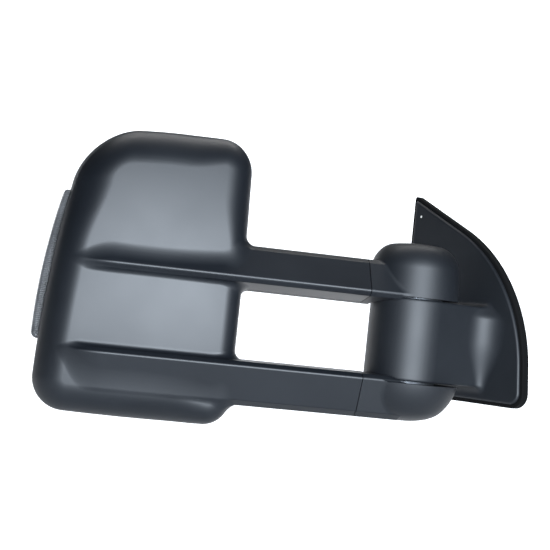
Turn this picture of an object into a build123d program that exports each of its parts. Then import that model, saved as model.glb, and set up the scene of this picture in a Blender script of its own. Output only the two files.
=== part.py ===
from build123d import *
import os
from math import asin, cos, degrees, radians, sin, tan

# Telescoping towing mirror for the right-hand door of a pickup truck, in millimetres.
# Row frame: +Z up, +X from the mirror head towards the truck, -Y towards the truck's nose.
# The origin lies on the door-side mounting face, level with the middle of the hinge barrel
# and straight behind the fold axis.
# Measures of the arms and the head are taken from the fold axis, which the helper planes
# level(), facing() and across() carry; the base is laid out on the DOOR plane.

os.makedirs("parts", exist_ok=True)

# ---------------------------------------------------------------- driving dimensions
SWEEP = 30.0  # the arms lean this far behind the mounting face's normal
STANDOFF = 84.0  # mounting face to fold axis
RUN = 0.05  # radial clearance of a running fit
SEAT = 0.02  # clearance of faces that are clamped or pressed

# door base
GASKET_T = 5.0  # gasket, compressed
SAIL_FACE = 12.0  # mounting face to the sail cover's outer face
COVER_WALL = 2.6
SAIL_REAR, SAIL_FOOT = -80.0, -59.0  # rear and lower edge of the sail
SAIL_BEND = (-4.0, 126.5)  # where the sloping edge starts to curve down
SAIL_SLOPE, SAIL_BOW, SAIL_BOW_R = 26.0, 58.0, 180.0
BARREL_R, BARREL_LOW, BARREL_HIGH = 44.0, -41.0, 43.0
NECK_FLARE_FRONT, NECK_FLARE_REAR = 28.0, 18.0
BOSS_R, BOSS_LOW, BOSS_HIGH = 30.0, -37.0, 39.0
STUD_R, STUD_OUT = 4.0, 28.0
STUD_SEAT_R, STUD_STEP = 4.2, 0.2  # the shank is thicker where it sits in the frame
STUD_POCKET_R, STUD_POCKET = 7.0, 1.0
BOSS_MID = (BOSS_LOW + BOSS_HIGH) / 2
FRAME_NECK_W, FRAME_NECK_H = 60.0, 70.0
COVER_HOLE_R = 33.5
STUDS = [(-62.0, -38.0), (72.0, -38.0), (-62.0, 84.0)]
SCREW_SPOTS = [(-62.0, 20.0), (-30.0, 112.0), (58.0, 46.0), (80.0, -20.0)]
SCREW_R, SCREW_HEAD_R, SCREW_HEAD_T = 1.9, 3.6, 2.2
CLIP_AT, CLIP_R, NIB_R = (-67.0, 141.0), 2.5, 1.3  # the clip's nib shows through the cover
GROMMET_R, GROMMET_BORE = 9.0, 5.0

# fold pivot
TUBE_R, TUBE_BORE, TUBE_LOW, TUBE_TOP = 15.0, 11.0, -79.0, 84.0
BUSH_WALL, BUSH_LENGTH, BUSH_FLANGE_R, BUSH_FLANGE_T = 2.0, 22.0, 21.0, 2.0
DETENT_R, BALL_R, BALL_SINK = 25.5, 2.4, 1.35
HUB_R, KNUCKLE_FLOOR, SOCKET_OUT_X = 32.0, 41.05, -54.0
SPRING_R, SPRING_WIRE, SPRING_LOW, SPRING_HIGH, SPRING_TURNS = 20.5, 1.9, -69.5, -51.5, 3.0

# arm sleeves: cross-sections as (y, z) corners; the first corner is the crest
SEAM_X, SLEEVE_X = -57.0, -57.8
RAIL_HOLE_GAP = 1.0
KNUCKLE_WALL, STUB_END_X, STUB_CLEAR_R = 2.6, -10.0, 48.0
# knuckle covers: (radius, height) of the rim, the shoulder and a point on the round above it,
# then the height, radius and half-angle of the crowned end
KNUCKLES = {
    "upper": {"rim": (49, 45), "shoulder": (46.5, 82), "round": (38.5, 95.5), "crown": (103, 160, 8)},
    "lower": {"rim": (53.5, -45), "shoulder": (55.5, -51), "round": (46, -69.5), "crown": (-90, 75, 21)},
}
UPPER_SECTION = [(-46, 46.5), (-25, 76), (-15, 80), (0, 80), (7, 73), (7, 39), (2, 33), (-41, 41)]
LOWER_SECTION = [(-46, -43.5), (-41, -39), (2, -38), (7, -43), (7, -78), (0, -85), (-22, -85), (-31, -79)]
SLEEVE_WALL = 2.4
SECTIONS = {"upper": UPPER_SECTION, "lower": LOWER_SECTION}
SPEAR_BEND_X, SPEAR_TIP_X, SPEAR_DIVE_R = -296.0, -374.0, 250.0  # the crests dive into the head

# telescoping rails
RAIL_W, RAIL_H, RAIL_CORNER, RAIL_WALL = 22.0, 21.0, 3.0, 2.5
RAIL_Y = -12.4
RAIL_Z = {"upper": 61.0, "lower": -61.0}
RAIL_IN, RAIL_END = -24.0, -356.0
SOCKET_WALL, BUSH_T, COLLAR_WALL = 2.0, 1.5, 3.0
RAIL_BOLTS, BOLT_R = [(-34.0, RAIL_Y), (-46.0, RAIL_Y)], 2.5
GUIDES = [(-220.0, -196.0), (-265.0, -241.0)]

# mirror head
SPLIT_Y, SPLIT_GAP = -8.0, 0.15  # joint between front and rear housing
REAR_Y = 66.0
WALL = 2.8
INNER_SIDE_X = -187.0
CROWN_Y, CROWN_R = -38.0, 1100.0
CROWN_CENTRE = (-290.0, 25.0)
FRONT_DRAFT, REAR_DRAFT = 4.2, 3.9  # how far the outline draws in over the depth
FRONT_ROUND = 14.0
HEAD_CORNERS = {(-360, 182): 46.0, (-391, -107): 34.0, (-187, -108): 26.0, (-187, 187): 33.0}
BEZEL_INSET, COLLAR_T, COLLAR_Y = 12.0, 2.0, 34.0
GLASS_GAP = 3.2
DIVIDER_HIGH, DIVIDER_LOW = -6.0, -18.0
PANE_CORNER = 9.0

# head frame, actuator and glass
PLATE_Y, PLATE_T = 1.8, 3.2
MAIN_AT = (-287.0, 86.0)
SPOTTER_AT = (-287.0, -59.0)
ACTUATOR_W, ACTUATOR_CORNER, ACTUATOR_DEPTH, LID_T = 92.0, 20.0, 19.0, 4.0
GIMBAL_Y = 36.0
CARRIER_Y, CARRIER_T = 43.5, 2.5
FILM_T, GLASS_T = 0.3, 2.5
DRIVE_ARM = 34.0  # from the glass pivot to each drive spindle
SPINDLE_R, SPINDLE_BALL, SPINDLE_LOW = 3.5, 3.0, 12.5
GEAR_R, GEAR_TEETH, GEAR_T, GEAR_Y = 8.5, 18, 5.0, 13.0
WORM_R, MOTOR_R = 3.0, 7.0
MAIN_GIMBAL = {"outer": 15.0, "inner": 10.5, "pin": 2.0, "reach": 20.6, "thick": 5.0, "post": 8.0}
SPOTTER_GIMBAL = {"outer": 11.0, "inner": 7.5, "pin": 1.6, "reach": 15.6, "thick": 4.0, "post": 5.0}
FRAME_SCREWS = [(-345.0, 148.0), (-212.0, 148.0), (-342.0, -86.0), (-212.0, -86.0)]
HOUSING_SCREWS = [(-340.0, -12.0), (-234.0, -12.0)]
ACTUATOR_SCREWS = [(-323.0, 122.0), (-251.0, 122.0), (-323.0, 50.0), (-251.0, 50.0)]
BOSS_SMALL_R = 3.8
PLUG_AT, LEAD_R = (-230.0, 18.0), 1.8

# side lamp
LAMP_LOW, LAMP_HIGH, LAMP_Y0, LAMP_Y1 = -38.0, 117.0, -1.0, 26.0
LAMP_WALL = 2.4
LAMP_OUTLINE = [(-378, LAMP_HIGH), (-388.5, 66), (-396, -22), (-393, LAMP_LOW)]
LAMP_RIM_X, LAMP_TRAY_X = -372.0, -364.0
LED_SPOTS = [-22.0, -2.0, 18.0, 38.0, 58.0, 78.0, 98.0]

# ---------------------------------------------------------------- planes
LEAN_X, LEAN_Y = cos(radians(SWEEP)), sin(radians(SWEEP))
PIVOT = Vector(-STANDOFF * LEAN_X, -STANDOFF * LEAN_Y, 0)
DOOR = Plane(origin=(0, 0, 0), x_dir=(LEAN_Y, -LEAN_X, 0), z_dir=(-LEAN_X, -LEAN_Y, 0))


def level(z):
    """Horizontal plane through the fold axis: local x, y run along the row's X, Y."""
    return Plane(origin=PIVOT + Vector(0, 0, z))


def neck_level(z):
    """Horizontal plane through the fold axis whose local x points square to the door."""
    return Plane(origin=PIVOT + Vector(0, 0, z), x_dir=(LEAN_X, LEAN_Y, 0), z_dir=(0, 0, 1))


def facing(y):
    """Upright plane seen from the truck's nose: local x, z, normal to the front."""
    return Plane(origin=PIVOT + Vector(0, y, 0), x_dir=(1, 0, 0), z_dir=(0, -1, 0))


def across(x):
    """Upright plane square to the arms: local coordinates are y, z, normal to +X."""
    return Plane(origin=PIVOT + Vector(x, 0, 0), x_dir=(0, 1, 0), z_dir=(1, 0, 0))


def save(shape, name):
    """Names a finished piece and writes it as its own node."""
    shape.label = name
    export_step(shape, f"parts/{name}.step")


# ---------------------------------------------------------------- shared forms
def sail_outline(height, inset):
    """The triangular sail at a height above the mounting face."""
    with BuildSketch(DOOR.offset(height)) as outline:
        with BuildLine():
            slope = radians(SAIL_SLOPE)
            tip = (SAIL_REAR, SAIL_BEND[1] + (SAIL_BEND[0] - SAIL_REAR) * tan(slope))
            Line((SAIL_REAR, SAIL_FOOT), tip)
            Line(tip, SAIL_BEND)
            bow = JernArc(SAIL_BEND, (cos(slope), -sin(slope)), SAIL_BOW_R, -SAIL_BOW)
            end, fall = bow @ 1, bow % 1
            drop = (SAIL_FOOT - end.Y) / fall.Y
            toe = end + fall * drop
            Line(end, toe)
            Line(toe, (SAIL_REAR, SAIL_FOOT))
        make_face()
        corners = outline.vertices()
        fillet(corners.sort_by(Axis.Y)[-1], radius=3.0)
        fillet(outline.vertices().sort_by(Axis.Y)[:2].sort_by(Axis.X)[0], radius=10.0)
        fillet(outline.vertices().group_by(Axis.Y)[0].sort_by(Axis.X)[-1], radius=16.0)
        if inset:
            offset(amount=-inset, mode=Mode.REPLACE)
    return outline.sketch


def neck_form(low, high, inset):
    """Barrel and neck in one plan outline that flares onto the sail."""
    foot = STANDOFF - SAIL_FACE
    half = BARREL_R - inset
    with BuildPart() as form:
        with BuildSketch(neck_level(low)) as plan:
            Circle(half)
            with Locations((foot / 2, 0)):
                Rectangle(foot, 2 * half)
            with Locations((foot + 2, NECK_FLARE_REAR / 2 - NECK_FLARE_FRONT / 2)):
                Rectangle(4, 2 * half + NECK_FLARE_REAR + NECK_FLARE_FRONT + 2)
            inner = plan.vertices().filter_by(lambda v: abs(v.X - foot) < 0.01 and abs(abs(v.Y) - half) < 0.01)
            fillet(inner.sort_by(Axis.Y)[0], radius=NECK_FLARE_FRONT)
            fillet(inner.sort_by(Axis.Y)[-1], radius=NECK_FLARE_REAR)
        extrude(amount=high - low)
    return form.part


def arm_section(x, corners, inset, rounds=2.0):
    """The sleeve's cross-section at a place along the arm."""
    with BuildSketch(across(x)) as section:
        with BuildLine():
            Polyline(*corners, close=True)
        make_face()
        if inset:
            offset(amount=-inset, kind=Kind.INTERSECTION, mode=Mode.REPLACE)
        fillet(section.vertices(), radius=rounds)
    return section.sketch


def rail_section(x, which, grow):
    """The rail's rounded box section, grown for the sockets and bushes round it."""
    with BuildSketch(across(x)) as section:
        with Locations((RAIL_Y, RAIL_Z[which])):
            RectangleRounded(RAIL_W + 2 * grow, RAIL_H + 2 * grow, RAIL_CORNER + grow)
    return section.sketch


def head_outline(y, inset, low=-200, high=300):
    """The head seen from the front, at a place in its depth, or its part between two heights."""
    with BuildSketch(facing(y)) as outline:
        with BuildLine():
            west, east, foot, crown = -391 + inset, INNER_SIDE_X - inset, -108 + inset, 187 - inset
            outer = ThreePointArc((west, foot + 1), (-383.5 + inset, 35), (-360 + inset, crown - 5))
            top = ThreePointArc(outer @ 1, (-268, crown + 3), (east, crown))
            inner = Line(top @ 1, (east, foot))
            ThreePointArc(inner @ 1, (-285, foot - 1), outer @ 0)
        make_face()
        for (x, z), corner in HEAD_CORNERS.items():
            nearest = min(outline.vertices(), key=lambda v: (v.X - x) ** 2 + (v.Y - z) ** 2)
            fillet(nearest, radius=max(corner - inset, PANE_CORNER))
        with Locations((-287, (low + high) / 2)):
            Rectangle(300, high - low, mode=Mode.INTERSECT)
        cut = outline.vertices().filter_by(lambda v: min(abs(v.Y - low), abs(v.Y - high)) < 0.01)
        if cut:
            fillet(cut, radius=PANE_CORNER)
    return outline.sketch


def head_block(inset):
    """The head's outer form, or its cavity when inset by the wall."""
    with BuildPart() as block:
        loft([head_outline(SPLIT_Y, inset), head_outline(SPLIT_Y - 40.0, inset + FRONT_DRAFT)], ruled=True)
        with Locations(PIVOT + Vector(CROWN_CENTRE[0], CROWN_Y + CROWN_R + inset, CROWN_CENTRE[1])):
            Sphere(CROWN_R, mode=Mode.INTERSECT)
        fillet(block.faces().sort_by(Axis.Y)[0].edges(), radius=FRONT_ROUND - inset)
        loft([head_outline(SPLIT_Y, inset), head_outline(REAR_Y - inset, inset + REAR_DRAFT)], ruled=True)
    return block.part


def opening(y, which, inset):
    """Outline of the main or the spotter glass opening, seen from the front."""
    low, high = {"main": (DIVIDER_HIGH + inset, 200), "spotter": (-120, DIVIDER_LOW - inset)}[which]
    return head_outline(y, BEZEL_INSET + inset, low, high)


def sleeve(which, inset, near, far):
    """An arm sleeve running from near to far, with the crest that dives into the head."""
    corners = SECTIONS[which]
    turn = SPEAR_BEND_X - SPEAR_TIP_X
    angle = degrees(asin(turn / SPEAR_DIVE_R))
    with BuildPart() as body:
        extrude(to_extrude=arm_section(near, corners, inset), amount=far - near)
        if far <= SPEAR_BEND_X:
            hub = PIVOT + Vector(far, corners[0][0] + SPEAR_DIVE_R, 0)
            revolve(arm_section(far, corners, inset), axis=Axis(hub, (0, 0, 1)), revolution_arc=-angle)
    return body.part


def lamp_form(inset, rim):
    """The lamp's bulged outer form, standing proud of the head's outer side."""
    with BuildPart() as form:
        with BuildSketch(facing(LAMP_Y1 - inset)) as profile:
            with BuildLine():
                low, high = LAMP_LOW + inset, LAMP_HIGH - inset
                outer = [(x + inset, min(max(z, low), high)) for x, z in LAMP_OUTLINE]
                Line((rim, low), outer[-1])
                Line(outer[-1], outer[-2])
                ThreePointArc(outer[-2], (-393.5 + inset, 28), outer[-3])
                Line(outer[-3], outer[0])
                Line(outer[0], (rim, high))
                Line((rim, high), (rim, low))
            make_face()
            fillet(profile.vertices().sort_by(Axis.X)[0], radius=7.0 - inset)
        extrude(amount=LAMP_Y1 - LAMP_Y0 - 2 * inset)
    return form.part


def arm_stub(which, inset, seam, rim_z):
    """Short run of sleeve section that reaches under the knuckle, clear of the barrel."""
    with BuildPart() as stub:
        extrude(to_extrude=arm_section(seam, SECTIONS[which], inset), amount=STUB_END_X - seam)
        with BuildSketch(level(0)):
            Circle(STUB_CLEAR_R + inset)
        extrude(amount=rim_z, mode=Mode.SUBTRACT)
    return stub.part


def knuckle_form(which, inset, seam):
    """Dome or bowl over the fold axis with the stub that meets the sleeve, or its cavity."""
    way = 1 if which == "upper" else -1
    knuckle = KNUCKLES[which]
    rim = (knuckle["rim"][0] - inset, knuckle["rim"][1] + way * inset)
    shoulder = (knuckle["shoulder"][0] - inset, knuckle["shoulder"][1])
    middle = (knuckle["round"][0] - 0.8 * inset, knuckle["round"][1] - 0.6 * way * inset)
    top, crown_r, half_angle = knuckle["crown"]
    with BuildPart() as form:
        with BuildSketch(Plane(origin=PIVOT, x_dir=(1, 0, 0), z_dir=(0, -1, 0))):
            with BuildLine():
                pole = (0, top - way * inset)
                crown = JernArc(pole, (1, 0), crown_r - inset, -way * half_angle)
                ThreePointArc(crown @ 1, middle, shoulder)
                Polyline(shoulder, rim, (0, rim[1]), pole)
            make_face()
        revolve(axis=Axis(PIVOT, (0, 0, 1)))
        add(arm_stub(which, inset, seam, rim[1]))
    return form.part


def gimbal_post(centre, base_y, g):
    """Post that carries a gimbal ring on two upright pins."""
    with BuildPart() as post:
        with BuildSketch(facing(GIMBAL_Y + g["thick"] / 2)):
            with Locations(centre):
                Circle(g["post"])
        extrude(amount=GIMBAL_Y + g["thick"] / 2 - base_y)
        with BuildSketch(level(centre[1] - g["outer"] + 0.3)):
            with Locations((centre[0], GIMBAL_Y)):
                Circle(g["pin"])
        extrude(amount=2 * g["outer"] - 0.6)
    return post.part


def gimbal_ring(centre, g):
    """Ring that pans on the post's pins and carries the glass on two level pins."""
    with BuildPart() as ring:
        with BuildSketch(facing(GIMBAL_Y + g["thick"] / 2)):
            with Locations(centre):
                Circle(g["outer"])
                Circle(g["inner"], mode=Mode.SUBTRACT)
        extrude(amount=g["thick"])
        with BuildSketch(level(centre[1] - 2 * g["outer"])):
            with Locations((centre[0], GIMBAL_Y)):
                Circle(g["pin"] + RUN)
        extrude(amount=4 * g["outer"], mode=Mode.SUBTRACT)
        for side in (-1, 1):
            with BuildSketch(across(centre[0] + side * (g["inner"] + 1))):
                with Locations((GIMBAL_Y, centre[1])):
                    Circle(g["pin"])
            extrude(amount=side * (g["reach"] - g["inner"] - 1))
    return ring.part


def glass_carrier(which, centre, g):
    """Carrier plate behind a glass, with two lugs that tilt on the gimbal ring."""
    lug_low = g["outer"] + 1.0
    with BuildPart() as carrier:
        extrude(to_extrude=opening(CARRIER_Y + CARRIER_T, which, GLASS_GAP), amount=CARRIER_T)
        extrude(to_extrude=opening(CARRIER_Y, which, GLASS_GAP + 8.0), amount=2.5)
        extrude(to_extrude=opening(CARRIER_Y, which, GLASS_GAP + 10.0), amount=2.5, mode=Mode.SUBTRACT)
        for side in (-1, 1):
            with BuildSketch(facing(CARRIER_Y)):
                with Locations((centre[0] + side * (lug_low + g["reach"]) / 2, centre[1])):
                    Rectangle(g["reach"] - lug_low, 8.0)
            extrude(amount=CARRIER_Y - GIMBAL_Y + g["pin"] + 1.4)
        with BuildSketch(across(centre[0] - 30)):
            with Locations((GIMBAL_Y, centre[1])):
                Circle(g["pin"] + RUN)
        extrude(amount=60, mode=Mode.SUBTRACT)
    return carrier.part


def sheet(which, y, thick, inset):
    """A pane-shaped sheet whose rear face lies at a given depth."""
    with BuildPart() as pane:
        extrude(to_extrude=opening(y, which, inset), amount=thick)
    return pane.part


def pins_at(spots, plane, radius, length, head_r=0.0, head_t=0.0):
    """Screws or studs standing on a plane at the given spots, heads below it."""
    with BuildPart() as pins:
        with BuildSketch(plane):
            with Locations(*spots):
                Circle(radius)
        extrude(amount=length)
        if head_r:
            with BuildSketch(plane):
                with Locations(*spots):
                    Circle(head_r)
            extrude(amount=-head_t)
    return pins.part


# ================================================================ door base
with BuildPart() as gasket:
    extrude(to_extrude=sail_outline(0, -1.5), amount=9.0)
    extrude(to_extrude=sail_outline(GASKET_T, -SEAT), amount=9.0, mode=Mode.SUBTRACT)
    extrude(to_extrude=sail_outline(0, 9.0), amount=GASKET_T, mode=Mode.SUBTRACT)
save(gasket.part, "base_gasket")

with BuildPart() as base_cover:
    extrude(to_extrude=sail_outline(GASKET_T, 0), amount=SAIL_FACE - GASKET_T)
    fillet(base_cover.faces().sort_by(Axis(DOOR.origin, DOOR.z_dir))[-1].edges(), radius=2.5)
    add(neck_form(BARREL_LOW, BARREL_HIGH, 0))
    cavity_depth = SAIL_FACE - GASKET_T - COVER_WALL
    extrude(to_extrude=sail_outline(GASKET_T, COVER_WALL), amount=cavity_depth, mode=Mode.SUBTRACT)
    add(neck_form(BARREL_LOW + COVER_WALL, BARREL_HIGH - COVER_WALL, COVER_WALL), mode=Mode.SUBTRACT)
    with BuildSketch(level(BARREL_LOW)):
        Circle(COVER_HOLE_R)
    extrude(amount=BARREL_HIGH - BARREL_LOW, mode=Mode.SUBTRACT)
    with BuildSketch(DOOR.offset(GASKET_T + SEAT)):
        with Locations(*SCREW_SPOTS):
            Circle(4.0)
            Circle(SCREW_R, mode=Mode.SUBTRACT)
    extrude(amount=cavity_depth)
    with BuildSketch(DOOR.offset(GASKET_T)):
        with Locations(CLIP_AT):
            Circle(NIB_R + 0.1)
    extrude(amount=SAIL_FACE, mode=Mode.SUBTRACT)
save(base_cover.part, "base_cover")

with BuildPart() as base_frame:
    extrude(to_extrude=sail_outline(0, 9.4), amount=GASKET_T)
    with BuildSketch(DOOR):
        with Locations((0, BOSS_MID)):
            RectangleRounded(FRAME_NECK_W, FRAME_NECK_H, 8.0)
    extrude(amount=STANDOFF)
    with BuildSketch(DOOR):
        with Locations((0, BOSS_MID)):
            RectangleRounded(FRAME_NECK_W - 10, FRAME_NECK_H - 10, 5.0)
    extrude(amount=STANDOFF - BOSS_R - 4.0, mode=Mode.SUBTRACT)
    with BuildSketch(level(BOSS_LOW)):
        Circle(BOSS_R)
    extrude(amount=BOSS_HIGH - BOSS_LOW)
    with BuildSketch(level(BOSS_LOW)):
        Circle(TUBE_R + BUSH_WALL + SEAT)
    extrude(amount=BOSS_HIGH - BOSS_LOW, mode=Mode.SUBTRACT)
    with BuildSketch(level(BOSS_LOW + BUSH_LENGTH)):
        Circle(TUBE_R + 5.0)
    extrude(amount=BOSS_HIGH - BOSS_LOW - 2 * BUSH_LENGTH, mode=Mode.SUBTRACT)
    with BuildSketch(DOOR.offset(STANDOFF - BOSS_R - 6)):
        with Locations((0, BOSS_MID)):
            Circle(9.0)
    extrude(amount=16.0, mode=Mode.SUBTRACT)
    with BuildSketch(DOOR):
        with Locations(*STUDS):
            Circle(STUD_SEAT_R + SEAT)
        with Locations(*SCREW_SPOTS):
            Circle(SCREW_R + 0.3)
        with Locations(CLIP_AT):
            Circle(CLIP_R + SEAT)
    extrude(amount=GASKET_T, mode=Mode.SUBTRACT)
    with BuildSketch(DOOR):
        with Locations(*SCREW_SPOTS):
            Circle(SCREW_HEAD_R + 0.3)
    extrude(amount=SCREW_HEAD_T + 0.4, mode=Mode.SUBTRACT)
    with BuildSketch(DOOR):
        with Locations(*STUDS):
            Circle(STUD_POCKET_R)
    extrude(amount=STUD_POCKET, mode=Mode.SUBTRACT)
save(base_frame.part, "base_frame")

save(pins_at(SCREW_SPOTS, DOOR.offset(SCREW_HEAD_T + 0.4), SCREW_R - SEAT, 8.0 - SCREW_HEAD_T,
             SCREW_HEAD_R, SCREW_HEAD_T), "base_screws")

with BuildPart() as studs:
    add(pins_at(STUDS, DOOR.offset(-STUD_OUT), STUD_R, STUD_OUT + STUD_STEP))
    add(pins_at(STUDS, DOOR.offset(STUD_STEP), STUD_SEAT_R, GASKET_T - STUD_STEP + SEAT))
    add(pins_at(STUDS, DOOR.offset(GASKET_T + SEAT), STUD_R + 3.5, 3.5))
save(studs.part, "mounting_studs")

with BuildPart() as locating_clip:
    add(pins_at([CLIP_AT], DOOR.offset(-12.0), CLIP_R, 12.0 + GASKET_T + SEAT))
    add(pins_at([CLIP_AT], DOOR.offset(-9.0), CLIP_R + 0.8, 2.0))
    add(pins_at([CLIP_AT], DOOR.offset(GASKET_T + SEAT), CLIP_R + 2.5, 2.0))
    add(pins_at([CLIP_AT], DOOR.offset(GASKET_T + SEAT), NIB_R, SAIL_FACE - GASKET_T - 0.1))
save(locating_clip.part, "locating_clip")

with BuildPart() as grommet:
    with BuildSketch(DOOR):
        with Locations((0, BOSS_MID)):
            RectangleRounded(FRAME_NECK_W - 10 - 2 * SEAT, FRAME_NECK_H - 10 - 2 * SEAT, 5.0)
    extrude(amount=4.0)
    with BuildSketch(DOOR.offset(-12.0)):
        with Locations((0, BOSS_MID)):
            Circle(GROMMET_R)
    extrude(amount=12.0)
    with BuildSketch(DOOR.offset(-12.0)):
        with Locations((0, BOSS_MID)):
            Circle(GROMMET_BORE)
    extrude(amount=16.0, mode=Mode.SUBTRACT)
save(grommet.part, "harness_grommet")

for name, seat_z, way in (("upper", BOSS_HIGH, -1), ("lower", BOSS_LOW, 1)):
    with BuildPart() as bushing:
        with BuildSketch(level(seat_z)):
            Circle(TUBE_R + BUSH_WALL)
        extrude(amount=way * BUSH_LENGTH)
        with BuildSketch(level(seat_z)):
            Circle(BUSH_FLANGE_R)
        extrude(amount=-way * BUSH_FLANGE_T)
        with BuildSketch(level(seat_z - way * BUSH_FLANGE_T)):
            Circle(TUBE_R + RUN)
        extrude(amount=way * (BUSH_LENGTH + BUSH_FLANGE_T), mode=Mode.SUBTRACT)
    save(bushing.part, f"{name}_pivot_bushing")

with BuildPart() as detent_track:
    with BuildSketch(level(BOSS_HIGH + SEAT)):
        Circle(DETENT_R + 4.0)
        Circle(BUSH_FLANGE_R + 0.5, mode=Mode.SUBTRACT)
    extrude(amount=BUSH_FLANGE_T - SEAT)
    ball_z = BOSS_HIGH + BUSH_FLANGE_T + BALL_SINK
    with BuildSketch(Plane(origin=PIVOT, x_dir=(1, 0, 0), z_dir=(0, -1, 0))):
        with Locations((DETENT_R, ball_z)):
            Circle(BALL_R + 0.1)
    revolve(axis=Axis(PIVOT, (0, 0, 1)), mode=Mode.SUBTRACT)
    with Locations(Pos(*PIVOT) * Pos(0, 0, ball_z - 0.5)):
        with PolarLocations(DETENT_R, 9, start_angle=60):
            Sphere(BALL_R, mode=Mode.SUBTRACT)
save(detent_track.part, "detent_track")

# ================================================================ folding arm
with BuildPart() as tube:
    with BuildSketch(level(TUBE_LOW)):
        Circle(TUBE_R)
    extrude(amount=TUBE_TOP - TUBE_LOW)
    with BuildSketch(level(TUBE_TOP)):
        Circle(TUBE_R + 4.0)
    extrude(amount=-4.0)
    with BuildSketch(level(TUBE_LOW)):
        Circle(TUBE_BORE)
    extrude(amount=TUBE_TOP - TUBE_LOW, mode=Mode.SUBTRACT)
    with BuildSketch(level(-10.0)):
        Rectangle(3 * TUBE_R, 12.0)
    extrude(amount=20.0, mode=Mode.SUBTRACT)
save(tube.part, "pivot_tube")

for which, floor_in, floor_out in (("upper", KNUCKLE_FLOOR, TUBE_TOP - 4.0 - SEAT), ("lower", -39.05, -50.0)):
    thick = {"upper": 6.0, "lower": floor_out - floor_in}[which]
    with BuildPart() as knuckle:
        with BuildSketch(level(floor_in)):
            Circle(HUB_R)
        extrude(amount=thick)
        with BuildSketch(level(floor_in)):
            Circle(TUBE_R + 5.0)
        extrude(amount=floor_out - floor_in)
        socket_in = RAIL_IN + {"upper": 6.0, "lower": 0.5}[which]
        extrude(to_extrude=rail_section(socket_in, which, SEAT + SOCKET_WALL), amount=SOCKET_OUT_X - socket_in)
        extrude(to_extrude=rail_section(RAIL_IN + SEAT, which, SEAT), amount=SOCKET_OUT_X - RAIL_IN - 1.0,
                mode=Mode.SUBTRACT)
        with BuildSketch(level(floor_in)):
            Circle(TUBE_R + SEAT)
        extrude(amount=floor_out - floor_in, mode=Mode.SUBTRACT)
        with BuildSketch(level(RAIL_Z[which] - 20.0)):
            with Locations(*RAIL_BOLTS):
                Circle(BOLT_R + SEAT)
        extrude(amount=40.0, mode=Mode.SUBTRACT)
        if which == "upper":
            with BuildSketch(level(floor_in)):
                with PolarLocations(DETENT_R, 3, start_angle=60):
                    Circle(BALL_R + SEAT)
            extrude(amount=ball_z + BALL_R + SEAT - floor_in, mode=Mode.SUBTRACT)
    save(knuckle.part, f"{which}_knuckle")

    with BuildPart() as rail:
        extrude(to_extrude=rail_section(RAIL_IN, which, 0), amount=RAIL_END - RAIL_IN)
        extrude(to_extrude=rail_section(RAIL_IN, which, -RAIL_WALL), amount=RAIL_END - RAIL_IN,
                mode=Mode.SUBTRACT)
        with BuildSketch(level(RAIL_Z[which] - 20.0)):
            with Locations(*RAIL_BOLTS):
                Circle(BOLT_R + SEAT)
        extrude(amount=40.0, mode=Mode.SUBTRACT)
    save(rail.part, f"{which}_arm_rail")

with BuildPart() as detent_balls:
    with Locations(Pos(*PIVOT) * Pos(0, 0, ball_z)):
        with PolarLocations(DETENT_R, 3, start_angle=60):
            Sphere(BALL_R)
save(detent_balls.part, "detent_balls")

with BuildPart() as rail_bolts:
    for which in RAIL_Z:
        way = 1 if which == "upper" else -1
        seat_z = RAIL_Z[which] + way * (RAIL_H / 2 + SOCKET_WALL + 2 * SEAT)
        reach = RAIL_H + 2 * SOCKET_WALL
        add(pins_at(RAIL_BOLTS, level(seat_z), BOLT_R, -way * reach, BOLT_R + 2.0, -way * 2.6))
save(rail_bolts.part, "rail_bolts")

with BuildPart() as rail_stops:
    for which in RAIL_Z:
        extrude(to_extrude=rail_section(RAIL_END - SEAT, which, 3.0), amount=-3.5)
        extrude(to_extrude=rail_section(RAIL_END, which, -RAIL_WALL - SEAT), amount=8.0)
save(rail_stops.part, "rail_end_stops")

with BuildPart() as washer:
    with BuildSketch(level(SPRING_HIGH + SEAT)):
        Circle(SPRING_R + 2.0)
        Circle(TUBE_R + SEAT, mode=Mode.SUBTRACT)
    extrude(amount=1.4)
save(washer.part, "spring_washer")

with BuildPart() as spring:
    with BuildLine(level(SPRING_LOW + SPRING_WIRE + SEAT)) as coil:
        Helix(pitch=(SPRING_HIGH - SPRING_LOW - 2 * SPRING_WIRE - 2 * SEAT) / SPRING_TURNS,
              height=SPRING_HIGH - SPRING_LOW - 2 * SPRING_WIRE - 2 * SEAT, radius=SPRING_R - 1.5)
    with BuildSketch(Plane(origin=coil.line @ 0, z_dir=coil.line % 0)):
        Circle(SPRING_WIRE)
    sweep(is_frenet=True)
save(spring.part, "pivot_spring")

with BuildPart() as nut:
    with BuildSketch(level(SPRING_LOW)):
        RegularPolygon(SPRING_R + 2.0, 6)
        Circle(TUBE_R + SEAT, mode=Mode.SUBTRACT)
    extrude(amount=-7.0)
    chamfer(nut.faces().sort_by(Axis.Z)[0].outer_wire().edges(), length=0.8)
save(nut.part, "pivot_nut")

for which in SECTIONS:
    way = 1 if which == "upper" else -1
    with BuildPart() as knuckle_cover:
        add(knuckle_form(which, 0.0, SEAM_X))
        add(knuckle_form(which, KNUCKLE_WALL, SEAM_X + 2.2), mode=Mode.SUBTRACT)
        with BuildSketch(level(KNUCKLES[which]["rim"][1] - way)):
            Circle(COVER_HOLE_R)
        extrude(amount=way * 6.0, mode=Mode.SUBTRACT)
        extrude(to_extrude=rail_section(SEAM_X - 1.0, which, RAIL_HOLE_GAP), amount=5.0, mode=Mode.SUBTRACT)
    save(knuckle_cover.part, f"{which}_knuckle_cover")

# ================================================================ mirror head
with BuildPart() as head_cavity:
    add(head_block(WALL))
    for which in SECTIONS:
        add(sleeve(which, SLEEVE_WALL, SLEEVE_X - 2.2, SPEAR_BEND_X))

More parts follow.
